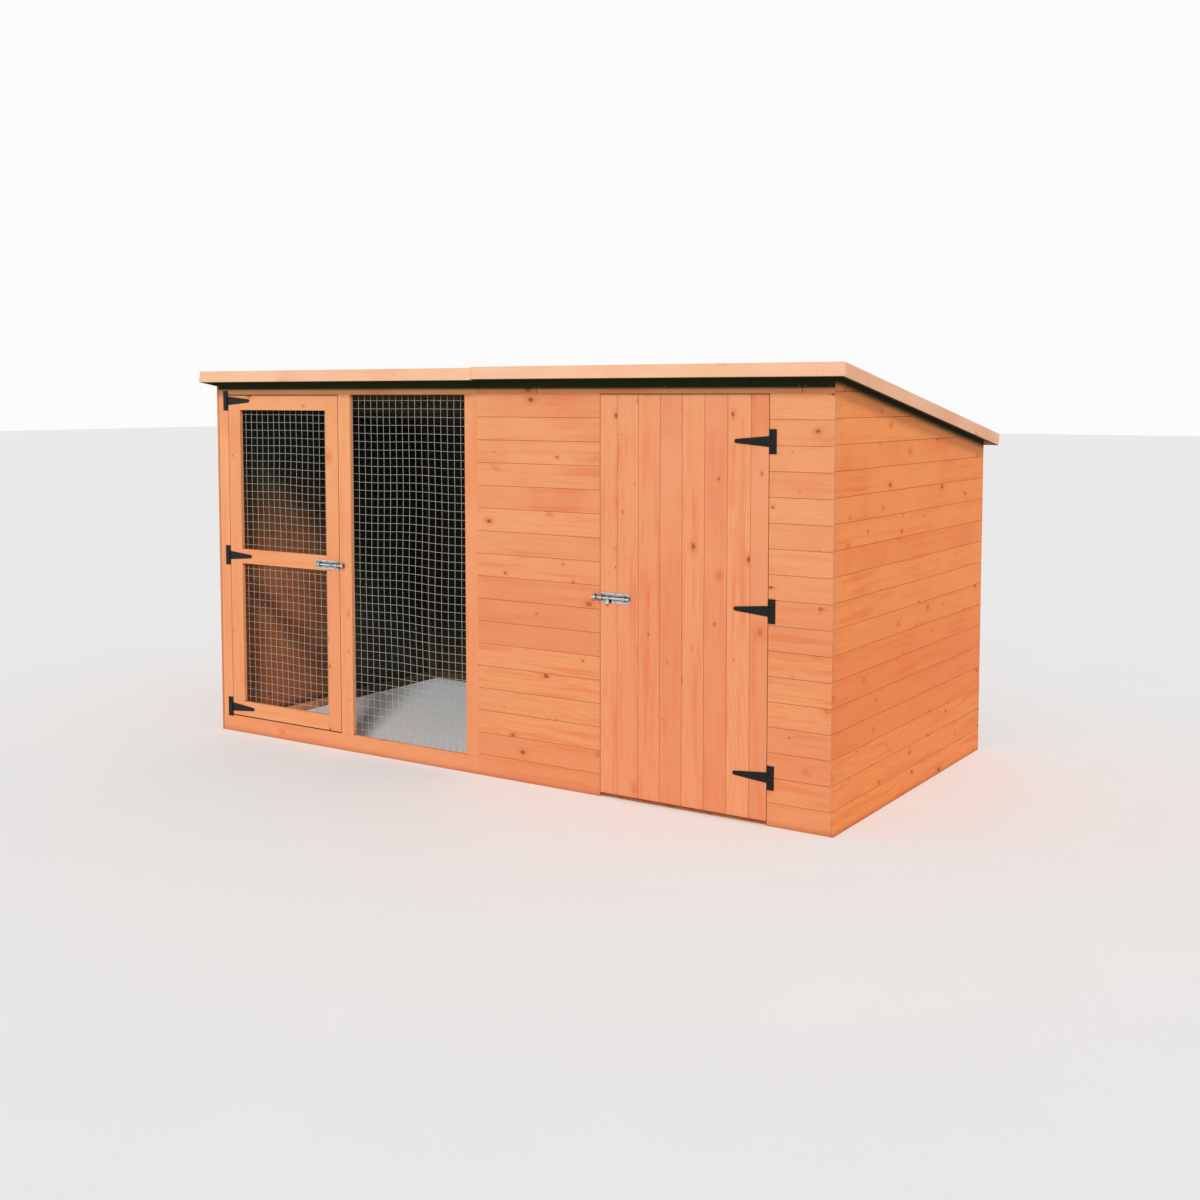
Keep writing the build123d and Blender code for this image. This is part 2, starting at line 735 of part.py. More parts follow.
def build():
    """Every named piece of the pen, as a list of its solids."""
    left_frame_x = board_thickness
    right_frame_x = pen_width - frame_line
    kennel_roof = (run_width + roof_joint_gap / 2, pen_right_edge - fascia_thickness)
    run_roof = (pen_left_edge + fascia_thickness, run_width - roof_joint_gap / 2)
    kennel_fascia = (fascia_joint_x + roof_joint_gap / 2, pen_right_edge)
    run_fascia = (pen_left_edge, fascia_joint_x - roof_joint_gap / 2)
    back_line = pen_depth - frame_line
    kennel_bolt = bolt_place(kennel_door_x0, kennel_bolt_z, False)
    run_bolt = bolt_place(run_door_right, run_bolt_z, True)
    return {
        "run_front_left_post": run_front_post(board_thickness, run_left_post_width),
        "run_front_middle_post": run_front_post(run_middle_post_left, run_middle_post_width),
        "run_front_right_post": run_front_post(run_mesh_right, run_right_post_width),
        "run_front_bottom_rail": run_front_bottom_rail(),
        "run_front_top_rail": run_front_top_rail(),
        "run_front_mesh": run_front_mesh(),
        "run_door_stop": run_door_stop(),
        "run_left_wall_boards": run_left_wall_boards(),
        "run_left_wall_frame": side_frame(left_frame_x, front_timber, back_line, run_roof_drop),
        "run_back_wall_boards": run_back_wall_boards(),
        "run_back_wall_frame": back_frame(board_thickness, run_width, run_roof_drop),
        "kennel_front_left_boards": kennel_front_side_boards(kennel_left, kennel_opening_x0),
        "kennel_front_right_boards": kennel_front_side_boards(kennel_opening_x1, pen_width - board_thickness),
        "kennel_header_boards": kennel_header_boards(),
        "kennel_front_frame": kennel_front_frame(),
        "kennel_side_wall_boards": kennel_side_wall_boards(),
        "kennel_side_wall_frame": side_frame(right_frame_x, frame_line, back_line, 0),
        "kennel_back_wall_boards": kennel_back_wall_boards(),
        "kennel_back_wall_frame": back_frame(kennel_left + board_thickness, pen_width - board_thickness, 0),
        "partition_boards": partition_boards(),
        "partition_frame": partition_frame(),
        "kennel_floor_boards": kennel_floor_boards(),
        "kennel_floor_bearers": kennel_floor_bearers(),
        "run_roof_boards": roof_boards(*run_roof, run_roof_drop),
        "run_roof_felt": roof_felt(*run_roof, run_roof_drop),
        "run_roof_purlins": roof_purlins(
            frame_line + purlin_gap, run_width - purlin_gap, front_timber, back_line, run_roof_drop
        ),
        "run_roof_front_fascia": roof_fascia(*run_fascia, True, run_roof_drop),
        "run_roof_rear_fascia": roof_fascia(*run_fascia, False, run_roof_drop),
        "run_roof_verge_board": roof_verge(pen_left_edge, run_roof_drop),
        "kennel_roof_boards": roof_boards(*kennel_roof, 0),
        "kennel_roof_felt": roof_felt(*kennel_roof, 0),
        "kennel_roof_purlins": roof_purlins(
            kennel_left + frame_line + purlin_gap, right_frame_x - purlin_gap, board_thickness, back_line, 0
        ),
        "kennel_roof_front_fascia": roof_fascia(*kennel_fascia, True, 0),
        "kennel_roof_rear_fascia": roof_fascia(*kennel_fascia, False, 0),
        "kennel_roof_verge_board": roof_verge(pen_right_edge - fascia_thickness, 0),
        "run_door_left_stile": run_door_stile(run_door_left),
        "run_door_right_stile": run_door_stile(run_door_right - run_door_stile_width),
        "run_door_bottom_rail": run_door_rail(run_door_rail_heights[0]),
        "run_door_middle_rail": run_door_rail(run_door_rail_heights[1]),
        "run_door_top_rail": run_door_rail(run_door_rail_heights[2]),
        "run_door_lower_mesh": run_door_mesh(0, 1),
        "run_door_upper_mesh": run_door_mesh(1, 2),
        "run_door_hinge_plates": hinge_set(hinge_plate(), run_pin_x, run_hinge_heights, True),
        "run_door_hinge_straps": hinge_set(hinge_strap(), run_pin_x, run_hinge_heights, True),
        "run_door_hinge_pins": hinge_set(hinge_pin(), run_pin_x, run_hinge_heights, True),
        "kennel_door_boards": kennel_door_boards(),
        "kennel_door_ledges": kennel_door_ledges(),
        "kennel_door_braces": kennel_door_braces(),
        "kennel_door_hinge_plates": hinge_set(hinge_plate(), kennel_pin_x, kennel_hinge_heights, False),
        "kennel_door_hinge_straps": hinge_set(hinge_strap(), kennel_pin_x, kennel_hinge_heights, False),
        "kennel_door_hinge_pins": hinge_set(hinge_pin(), kennel_pin_x, kennel_hinge_heights, False),
        "run_bolt_plate": [run_bolt * bolt_plate()],
        "run_bolt_bar": [run_bolt * bolt_bar(bolt_rest_x)],
        "run_bolt_handle": [run_bolt * bolt_handle(-run_handle_turn_deg)],
        "run_bolt_keeper": [run_bolt * (Pos(keeper_x, 0, 0) * keeper())],
        "kennel_bolt_plate": [kennel_bolt * bolt_plate()],
        "kennel_bolt_bar": [kennel_bolt * bolt_bar(bolt_rest_x)],
        "kennel_bolt_handle": [kennel_bolt * bolt_handle(kennel_handle_turn_deg)],
        "kennel_bolt_keeper": [kennel_bolt * (Pos(keeper_x, 0, 0) * keeper())],
    }


os.makedirs("parts", exist_ok=True)
for name, pieces in build().items():
    placed = [Pos(-middle.X, -middle.Y, 0) * solid for piece in pieces for solid in piece.solids()]
    export_step(Compound(children=placed, label=name), f"parts/{name}.step")
print("overall", pen_right_edge - pen_left_edge, pen_back_edge - pen_front_edge, roof_top_z)
print("origin offset", middle.X, middle.Y)
print("run hinge pin", run_pin_x - middle.X, -hinge_axis_depth - middle.Y)
print("kennel hinge pin", kennel_pin_x - middle.X, -hinge_axis_depth - middle.Y)
print("bolt throw", bolt_throw, "axis y", -door_seat_gap - bolt_axis_depth - middle.Y)
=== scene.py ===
"""Looks of a covered dog pen: stained softwood boards, galvanised mesh, black hinges, zinc bolts.

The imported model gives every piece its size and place. This script finishes the surfaces, puts
round wires in place of the square ones, and adds screws, nails and staples. Sizes are metres.
"""
import math

import bpy
import numpy as np
from mathutils import Matrix, Vector


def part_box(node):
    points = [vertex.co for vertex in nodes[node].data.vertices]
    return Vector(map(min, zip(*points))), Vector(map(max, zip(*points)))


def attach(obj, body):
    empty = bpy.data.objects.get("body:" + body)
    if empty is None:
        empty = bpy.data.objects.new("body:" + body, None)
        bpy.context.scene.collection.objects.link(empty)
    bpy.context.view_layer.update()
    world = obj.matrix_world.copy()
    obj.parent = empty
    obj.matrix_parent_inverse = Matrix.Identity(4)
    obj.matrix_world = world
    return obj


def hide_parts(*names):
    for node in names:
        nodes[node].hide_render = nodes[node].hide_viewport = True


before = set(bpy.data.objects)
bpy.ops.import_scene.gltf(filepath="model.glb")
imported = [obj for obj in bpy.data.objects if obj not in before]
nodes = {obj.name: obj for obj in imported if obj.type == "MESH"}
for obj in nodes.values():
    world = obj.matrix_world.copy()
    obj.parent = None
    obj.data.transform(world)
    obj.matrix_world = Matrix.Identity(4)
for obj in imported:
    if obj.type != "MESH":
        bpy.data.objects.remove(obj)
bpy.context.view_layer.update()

# Where the drawing's corner and the walls' outer faces lie in the model's frame
left_x = -1.682
front_y = -0.830080
right_x = left_x + 3.354
back_y = front_y + 1.674

# Camera of the reference view
camera_place = Vector((3.916, -5.882, 1.682))
camera_yaw = math.radians(33.22)
camera_pitch = math.radians(4.06)
camera_lens = 43.64
camera_shift_y = -0.0833

# Board courses: the cover of a board, the height or place of the first seam, and the door's boards
course = 0.100
front_seam_z = 1.6945
side_seam_z = 1.7015
floor_seam_x = 0.1098
door_course = 0.1027
door_seam_x = left_x + 2.375
door_right_x = left_x + 3.069
door_board_count = 8

# Where the roof's top meets the front fascia, for nails and for the painted shade on the walls
roof_overhang = 0.065
roof_edge_y = front_y - roof_overhang
roof_top_z = 1.812
roof_pitch = math.radians(9.6)

# Painted daylight inside the run: the distances from the front and the heights between which it fades
daylit_depths = (front_y + 0.40, front_y + 1.05)
daylit_heights = (0.70, 1.36)

# Hinges: the pins' places, the heights of the hinges, and the thickness of their steel
kennel_pin_x = left_x + 3.0755
kennel_hinge_z = (0.193, 0.850, 1.510)
run_pin_x = left_x + 0.0735
run_hinge_z = (0.124, 0.892, 1.662)
hinge_sheet = 0.0025

# Bolts: the end of each plate that is nearest to its keeper, and the steel of plate and guides
kennel_bolt_x = left_x + 2.295
kennel_bolt_z = 0.847
run_bolt_x = left_x + 0.811
run_bolt_z = 0.885
bolt_sheet = 0.002
guide_sheet = 0.0018

# Mesh and staples
mesh_pitch = 0.038
wire_radius = 0.00085
run_mesh_sway = 0.006
door_mesh_sway = 0.0035
staple_inset = 0.010
staple_radius = 0.0006
staple_half_width = 0.0045
staple_leg = 0.0030

# Screws and nails
screw_radius = 0.0042
screw_height = 0.0016
nail_radius = 0.0018
nail_height = 0.0005

# Nails: heights over a board's lower edge, and the places of the studs along each wall
board_nail_heights = (0.024, 0.074)
front_studs = (1.679, 2.276, 3.087, 3.322)
header_studs = (1.679, 1.953, 1.977, 2.60, 3.196, 3.220, 3.322)
side_studs = (0.068, 0.837, 1.606)
back_studs = (0.034, 0.83, 1.623, 1.679, 2.50, 3.320)
header_nail_height = 0.030
back_wall_top = 1.46

# Nails are left out of boards that show less than this, and this near to the roof's slope
narrow_board = 0.015
roof_clearance = 0.06

# Door nails, from the middle of a ledge and from the door's edge boards
ledge_nail_heights = (-0.018, 0.018)
first_board_inset = 0.042
last_board_inset = 0.030

# Fascia nails: from the roof's top, along the front, and the nearest to the pen's corner
fascia_nail_drop = 0.030
fascia_nail_start = -0.035
fascia_nail_step = 0.42
fascia_nail_least = -0.020
fascia_nail_count = 9

# Rounded edges
planed_round = 0.0018
fascia_round = 0.0022
hinge_round = 0.0005
bolt_round = 0.0004
weld_distance = 0.00001
sharp_angle = math.radians(50)

# Studio: the floor's half width and colour, the light from all round, its paler seen tone, and the lamp
stage_reach = 60.0
stage_tone = (0.82, 0.82, 0.81)
sky_light = (0.56, 0.56, 0.57, 1.0)
sky_seen = (0.97, 0.97, 0.97, 1.0)
sun_direction = (0.42, -0.66, 0.62)
sun_energy = 2.15
sun_spread = 10.0

X, Y, Z = 0, 1, 2


class Shader:
    """One node material, with short calls for the nodes that it is made of."""

    def __init__(self, name):
        self.material = bpy.data.materials.new(name)
        self.material.use_nodes = True
        self.tree = self.material.node_tree
        self.tree.nodes.clear()
        self.coords = self.add("ShaderNodeTexCoord").outputs["Object"]

    def add(self, kind, **settings):
        node = self.tree.nodes.new(kind)
        for key, value in settings.items():
            setattr(node, key, value)
        return node

    def feed(self, socket, value):
        if isinstance(value, bpy.types.NodeSocket):
            self.tree.links.new(value, socket)
        else:
            socket.default_value = value

    def math(self, operation, a, b=0.0):
        node = self.add("ShaderNodeMath", operation=operation)
        self.feed(node.inputs[0], a)
        self.feed(node.inputs[1], b)
        return node.outputs[0]

    def vector(self, operation, a, b=(0, 0, 0)):
        node = self.add("ShaderNodeVectorMath", operation=operation)
        self.feed(node.inputs[0], a)
        self.feed(node.inputs[1], b)
        return node.outputs["Value"] if operation in ("LENGTH", "DISTANCE") else node.outputs["Vector"]

    def axis(self, vector, number):
        node = self.add("ShaderNodeSeparateXYZ")
        self.feed(node.inputs[0], vector)
        return node.outputs[number]

    def mix(self, factor, a, b, blend="MIX"):
        """A mix of two colours; the node's colour sockets are inputs 6 and 7 and output 2."""
        node = self.add("ShaderNodeMix", data_type="RGBA", blend_type=blend)
        self.feed(node.inputs[0], factor)
        self.feed(node.inputs[6], a)
        self.feed(node.inputs[7], b)
        return node.outputs[2]

    def noise(self, vector, scale, detail=3.0, roughness=0.5):
        node = self.add("ShaderNodeTexNoise")
        self.feed(node.inputs["Vector"], vector)
        self.feed(node.inputs["Scale"], scale)
        self.feed(node.inputs["Detail"], detail)
        self.feed(node.inputs["Roughness"], roughness)
        return node.outputs["Fac"]

    def smooth(self, value, low, high, to_low=0.0, to_high=1.0):
        """A smooth step: to_low at low, to_high at high."""
        node = self.add("ShaderNodeMapRange", interpolation_type="SMOOTHSTEP")
        for key, number in (("Value", value), ("From Min", low), ("From Max", high),
                            ("To Min", to_low), ("To Max", to_high)):
            self.feed(node.inputs[key], number)
        return node.outputs[0]

    def shelter(self, reach):
        """How open a point is to its surroundings within a reach, from 0 in a corner to 1."""
        node = self.add("ShaderNodeAmbientOcclusion", samples=6)
        self.feed(node.inputs["Distance"], reach)
        return node.outputs["AO"]

    def bump(self, height, distance, strength=1.0, under=None):
        """A surface raised by height times distance, over another bump if one is given."""
        node = self.add("ShaderNodeBump")
        self.feed(node.inputs["Height"], height)
        self.feed(node.inputs["Distance"], distance)
        self.feed(node.inputs["Strength"], strength)
        if under is not None:
            self.feed(node.inputs["Normal"], under)
        return node.outputs["Normal"]

    def finish(self, **surface):
        """Closes the material; the arguments are socket names with _ for each space."""
        shader = self.add("ShaderNodeBsdfPrincipled")
        for key, value in surface.items():
            self.feed(shader.inputs[key.replace("_", " ")], value)
        output = self.add("ShaderNodeOutputMaterial")
        self.tree.links.new(shader.outputs[0], output.inputs[0])
        return self.material


# Patterns in timber, as cycles per metre across the grain and along it
drift_scales = (5.5, 0.55)
fibre_scales = (420.0, 9.0)
streak_scales = (34.0, 1.9)
patch_scale = 3.1
rings_per_metre = 46.0
rings_per_drift = 26.0
rings_per_knot = 2.4
ring_sharpness = 2.6

# Knots: cells per metre that may hold one, their length over their width, and their radii
knot_cells_across = 11.0
knot_cells_along = 3.3
knot_stretch = 0.68
knot_least_radius = 0.0022
knot_added_radius = 0.0115
knot_swell_reach = 0.045

# How strongly each pattern shows in the stain
ring_share = 0.36
fibre_share = 0.22
board_share = 0.9
streak_share = 0.85
paler_share = 0.55

# Tints of a tone: factors for its green and its blue, then one for all three channels
ring_tint = (0.74, 0.55, 0.88)
board_tint = (0.83, 0.84, 0.93)
streak_tint = (0.68, 0.58, 0.92)
paler_tint = (1.17, 1.22, 1.05)
halo_tint = (0.70, 0.52, 0.88)
seam_tint = (0.60, 0.35, 0.30)
fibre_shade = 0.72

# The timber's darkest colours, its gloss, and how far apart the boards' patterns lie
knot_eye_tone = (0.07, 0.026, 0.014, 1.0)
butt_tone = (0.05, 0.025, 0.015, 1.0)
# Painted shade: the tint that darkens corners, grooves and gaps
corner_shade_tint = (0.34, 0.12, 0.03, 1.0)
# Painted shade: near-black for the band under the roof's edge
eaves_shade_tone = (0.009, 0.016, 0.0, 1.0)
timber_gloss = 0.14
board_shift = (23.0, 31.0, 17.0)

# Half widths of a seam's dark line and of a butt's, where they are full and where they end
seam_width = (0.0006, 0.0019)
butt_width = (0.0008, 0.0024)


def shade(colour, factor):
    """A colour made lighter or darker, with the alpha that a socket wants."""
    return tuple(min(1.0, channel * factor) for channel in colour[:3]) + (1.0,)


def tinted(tone, green, blue, factor):
    """A tone with its green and blue scaled, then made lighter or darker."""
    return shade((tone[0], tone[1] * green, tone[2] * blue), factor)


def board_number(s, courses):
    """Which board a point is on: floor((coordinate - seam) / cover)."""
    return 0.0 if courses is None else s.math("FLOOR", boards_past(s, courses))


def boards_past(s, courses):
    """How many covers a point lies past the first seam, with the part of a board as a fraction."""
    axis, seam, cover = courses
    return s.math("DIVIDE", s.math("SUBTRACT", s.axis(s.coords, axis), seam), cover)


def seam_line(s, courses):
    """The dark line between two boards: 1 on the seam, 0 from 1.9 mm off it."""
    past = s.math("FRACT", boards_past(s, courses))
    near = s.math("MULTIPLY", s.math("MINIMUM", past, s.math("SUBTRACT", 1.0, past)), courses[2])
    return s.smooth(near, *seam_width, 1.0, 0.0)


def chance(s, courses, seed):
    """A random value and a random vector for each board of each piece."""
    piece = s.math("MULTIPLY", s.add("ShaderNodeObjectInfo").outputs["Random"], 71.0)
    number = s.math("ADD", s.math("ADD", board_number(s, courses), piece), seed)
    dice = s.add("ShaderNodeTexWhiteNoise", noise_dimensions="1D")
    s.feed(dice.inputs["W"], number)
    return dice.outputs["Value"], dice.outputs["Color"]


def knots(s, along, depth, shift, share):
    """The knots of a board: distance to the nearest one, its radius, whether it shows, and how dark it is.

    The space is cut into cells 0.30 m along the grain and 0.09 m across it. The depth is
    left flat, so a knot's centre always lies on the show face. A knot is drawn out along
    the grain, and noise makes its rim uneven.
    """
    cells = [knot_cells_across] * 3
    cells[along] = knot_cells_along
    cells[depth] = 0.001
    spread = s.vector("ADD", s.vector("MULTIPLY", s.coords, tuple(cells)), shift)
    cell = s.add("ShaderNodeTexVoronoi", feature="F1")
    s.feed(cell.inputs["Vector"], spread)
    s.feed(cell.inputs["Scale"], 1.0)
    gap = s.vector("SUBTRACT", spread, cell.outputs["Position"])
    sizes = [1.0 / scale for scale in cells]
    sizes[depth] = 0.0
    sizes[along] *= knot_stretch
    distance = s.vector("LENGTH", s.vector("MULTIPLY", gap, tuple(sizes)))
    ragged = s.math("ADD", s.math("MULTIPLY", s.noise(s.coords, 170.0, 2.0), 0.9), 0.55)
    distance = s.math("MULTIPLY", distance, ragged)
    colour = cell.outputs["Color"]
    shows = s.smooth(s.axis(colour, 0), 1.0 - share, 1.02 - share)
    size = s.math("POWER", s.axis(colour, 1), 2.0)
    radius = s.math("ADD", s.math("MULTIPLY", size, knot_added_radius), knot_least_radius)
    return distance, radius, shows, s.axis(colour, 2)


def painted_eaves_shade(s, full, clear):
    """Painted shade under the roof's edge: 1 down to one depth below the roof's slope, 0 from another.

    The depth is top - (y - edge) tan(pitch) - z.
    """
    fall = s.math("MULTIPLY", s.math("SUBTRACT", s.axis(s.coords, Y), roof_edge_y), math.tan(roof_pitch))
    depth = s.math("SUBTRACT", s.math("SUBTRACT", roof_top_z, fall), s.axis(s.coords, Z))
    return s.smooth(depth, full, clear, 1.0, 0.0)


def painted_daylight(s):
    """Painted daylight inside the run: 1 low at the front, 0 at the back and the top."""
    near = s.smooth(s.axis(s.coords, Y), *daylit_depths, 1.0, 0.0)
    return s.math("MULTIPLY", near, s.smooth(s.axis(s.coords, Z), *daylit_heights, 1.0, 0.0))


def drawn_noise(s, along, scales, shift=None, detail=3.0, roughness=0.6):
    """Noise drawn out along the grain; the two scales are across it and along it."""
    across_scale, along_scale = scales
    stretch = [across_scale] * 3
    stretch[along] = along_scale
    point = s.vector("MULTIPLY", s.coords, tuple(stretch))
    if shift is not None:
        point = s.vector("ADD", point, shift)
    return s.noise(point, 1.0, detail, roughness)


def growth_lines(s, along, depth, shift, knot):
    """The dark lines of the year rings, from 0 to 1: ((1 + sin(2 pi lane)) / 2)^2.6.

    lane = 46 c + 26 drift + 2.4 swell, where c is the place across the grain in metres,
    drift is a slow noise, and swell rises from 0 at 45 mm from a knot to 1 at its middle.
    """
    distance, _, shows, _ = knot
    across = X + Y + Z - along - depth
    drift = drawn_noise(s, along, drift_scales, shift, 2.0, 0.5)
    swell = s.math("MULTIPLY", s.smooth(distance, 0.0, knot_swell_reach, 1.0, 0.0), shows)
    lane = s.math("ADD", s.math("MULTIPLY", s.axis(s.coords, across), rings_per_metre),
                  s.math("MULTIPLY", drift, rings_per_drift))
    lane = s.math("ADD", lane, s.math("MULTIPLY", swell, rings_per_knot))
    wave = s.math("SINE", s.math("MULTIPLY", lane, 2 * math.pi))
    return s.math("POWER", s.math("MULTIPLY", s.math("ADD", wave, 1.0), 0.5), ring_sharpness)


def stain(s, tone, grain, lines, fibre, tint, streak, patch):
    """Stain over grain: darker growth lines, fibre and streaks, a tint per board, paler patches.

    The patches are paler towards the roof. grain scales how much the grain shows.
    """
    body = s.mix(s.math("MULTIPLY", lines, ring_share * grain), shade(tone, 1.0), tinted(tone, *ring_tint))
    body = s.mix(s.smooth(fibre, 0.45, 0.75, 0.0, fibre_share * grain), body, shade(tone, fibre_shade))
    body = s.mix(s.smooth(tint, 0.0, 1.0, 0.0, board_share), body, tinted(tone, *board_tint))
    body = s.mix(s.smooth(streak, 0.47, 0.70, 0.0, streak_share * grain), body, tinted(tone, *streak_tint))
    rise = s.smooth(s.axis(s.coords, Z), 0.3, 1.75, 0.25, 1.0)
    paler_patches = s.math("MULTIPLY", rise, s.smooth(patch, 0.25, 0.65))
    return s.mix(s.math("MULTIPLY", paler_patches, paler_share), body, tinted(tone, *paler_tint))


def knot_colours(s, body, tone, knot):
    """A knot's brown halo and ring, a near-black eye in dark knots, a clear middle in pale ones."""
    distance, radius, shows, dark = knot

    def radii(number):
        return s.math("MULTIPLY", radius, number)

    halo = s.math("MULTIPLY", s.smooth(distance, radii(3.0), radius, 0.0, 0.5), shows)
    core = s.math("MULTIPLY", s.smooth(distance, radius, radii(0.75), 0.0, 0.85), shows)
    eye = s.math("MULTIPLY", s.smooth(distance, radii(0.6), 0.0, 0.0, 0.75), shows)
    eye = s.math("MULTIPLY", eye, s.smooth(dark, 0.35, 0.65))
    middle = s.smooth(distance, radii(0.35), radii(0.80), 1.0, 0.0)
    clear = s.math("MULTIPLY", s.smooth(dark, 0.45, 0.40, 0.0, 0.75), middle)
    core = s.math("MULTIPLY", core, s.math("SUBTRACT", 1.0, clear))
    pale_ring = shade((tone[0] * 0.80, tone[1] * 0.56, tone[2] * 0.46), 1.0)
    dark_ring = shade((tone[0] * 0.46, tone[1] * 0.34, tone[2] * 0.30), 1.0)
    body = s.mix(halo, body, tinted(tone, *halo_tint))
    body = s.mix(core, body, s.mix(dark, pale_ring, dark_ring))
    return s.mix(eye, body, knot_eye_tone)


def side_colour_and_shade(s, body, tone, side):
    """A side with another colour, end grain or painted shade: the body times new tone / show face's tone,
    where the side faces.

    The new tone goes from dim to daylit with the painted daylight patch.
    """
    axis, sign, dim, daylit = side
    facing = s.math("MULTIPLY", s.axis(s.add("ShaderNodeNewGeometry").outputs["Normal"], axis), sign)
    dim, daylit = [tuple(new / old for old, new in zip(tone, other)) + (1.0,) for other in (dim, daylit)]
    inside = s.mix(1.0, body, s.mix(painted_daylight(s), dim, daylit), "MULTIPLY")
    return s.mix(s.smooth(facing, 0.4, 0.6), body, inside)


def timber(name, tone, along, depth, courses=None, seed=0.0, share=0.5, rough=0.62, grain=1.0,
           faces=(), eaves=None, butts=(), line=0.36):
    """Stained softwood, with its grain along one axis and its thickness along another.

    courses is (axis, first seam, cover) of the boards, and line is how dark their seams are.
    share is how many of the possible knots show.
    faces are (axis, sign, dim tone, daylit tone) for sides whose colour differs from the show face: end
    grain, or painted shade with painted daylight.
    eaves is the two depths between which the painted shade under the roof's edge fades out.
    butts are the places along the grain where two boards meet end to end.
    """
    s = Shader(name)
    tint, shift = chance(s, courses, seed)
    shift = s.vector("MULTIPLY", shift, board_shift)
    knot = knots(s, along, depth, shift, share)
    lines = growth_lines(s, along, depth, shift, knot)
    fibre = drawn_noise(s, along, fibre_scales)
    streak = drawn_noise(s, along, streak_scales, shift)
    patch = s.noise(s.vector("ADD", s.coords, shift), patch_scale)
    body = stain(s, tone, grain, lines, fibre, tint, streak, patch)
    body = knot_colours(s, body, tone, knot)

    for side in faces:
        body = side_colour_and_shade(s, body, tone, side)
    for butt in butts:
        gap = s.math("ABSOLUTE", s.math("SUBTRACT", s.axis(s.coords, along), butt))
        body = s.mix(s.smooth(gap, *butt_width, 0.85, 0.0), body, butt_tone)
    if courses:
        seam = s.math("MULTIPLY", seam_line(s, courses), line)
        body = s.mix(seam, body, tinted(tone, *seam_tint))
    # Painted shade: darker in corners, grooves and gaps, from ambient occlusion
    corner_shade = s.smooth(s.shelter(0.05), 0.45, 0.78, 0.6, 0.0)
    body = s.mix(corner_shade, body, s.mix(1.0, body, corner_shade_tint, "MULTIPLY"))
    # Painted shade: a near-black band on the walls just under the roof's edge
    if eaves:
        body = s.mix(painted_eaves_shade(s, *eaves), body, eaves_shade_tone)

    height = s.math("ADD", s.math("MULTIPLY", lines, 0.55), s.math("MULTIPLY", fibre, 0.75))
    normal = s.bump(height, 0.00035 * grain, 0.8)
    roughness = s.math("ADD", s.math("MULTIPLY", fibre, 0.16), rough - 0.08)
    return s.finish(Base_Color=body, Roughness=roughness, Normal=normal, Specular_IOR_Level=timber_gloss)


def galvanised_wire():
    """Zinc-coated wire: dull spangle, with brighter and darker stretches."""
    s = Shader("galvanised wire")
    spangle = s.noise(s.coords, 190.0, 3.0)
    colour = s.mix(spangle, (0.34, 0.36, 0.34, 1.0), (0.60, 0.62, 0.60, 1.0))
    rough = s.smooth(spangle, 0.2, 0.8, 0.34, 0.55)
    return s.finish(Base_Color=colour, Metallic=0.35, Roughness=rough, Normal=s.bump(spangle, 0.0001))


def japanned_steel():
    """Black stoving enamel over pressed steel, with a little orange peel and no wear."""
    s = Shader("black enamel")
    peel = s.noise(s.coords, 330.0, 2.0)
    cloud = s.noise(s.coords, 42.0, 3.0)
    colour = s.mix(cloud, (0.0035, 0.0045, 0.0040, 1.0), (0.010, 0.012, 0.011, 1.0))
    rough = s.smooth(cloud, 0.3, 0.7, 0.13, 0.24)
    normal = s.bump(peel, 0.00022, 0.7)
    return s.finish(Base_Color=colour, Roughness=rough, Normal=normal, Specular_IOR_Level=0.22)


def zinc_plate():
    """Bright zinc plating: faint drawing lines along the bar, small cloudy spots, and painted shade in its
    corners and gaps.
    """
    s = Shader("bright zinc")
    drawn = s.noise(s.vector("MULTIPLY", s.coords, (14.0, 900.0, 900.0)), 1.0, 3.0)
    cloud = s.noise(s.coords, 65.0, 3.0)
    colour = s.mix(cloud, (0.50, 0.50, 0.52, 1.0), (0.86, 0.84, 0.82, 1.0))
    # Painted shade: near-black in corners and gaps, from ambient occlusion
    corner = s.smooth(s.shelter(0.013), 0.60, 1.0)
    colour = s.mix(corner, (0.035, 0.032, 0.034, 1.0), colour)
    rough = s.math("ADD", s.math("MULTIPLY", cloud, 0.14), 0.10)
    return s.finish(Base_Color=colour, Metallic=1.0, Roughness=rough, Normal=s.bump(drawn, 0.00012, 0.5))


def nail_steel():
    """Flat heads stained over with the wood, darker where the stain has worn off them."""
    s = Shader("stained nail steel")
    rust = s.noise(s.coords, 260.0, 3.0)
    colour = s.mix(s.smooth(rust, 0.46, 0.62), (0.62, 0.20, 0.085, 1.0), (0.17, 0.07, 0.04, 1.0))
    return s.finish(Base_Color=colour, Metallic=0.1, Roughness=0.6, Normal=s.bump(rust, 0.0002))


# Laps of the roofing felt: where they start behind the middle, and the step between them
lap_start = 0.95
lap_step = 0.9


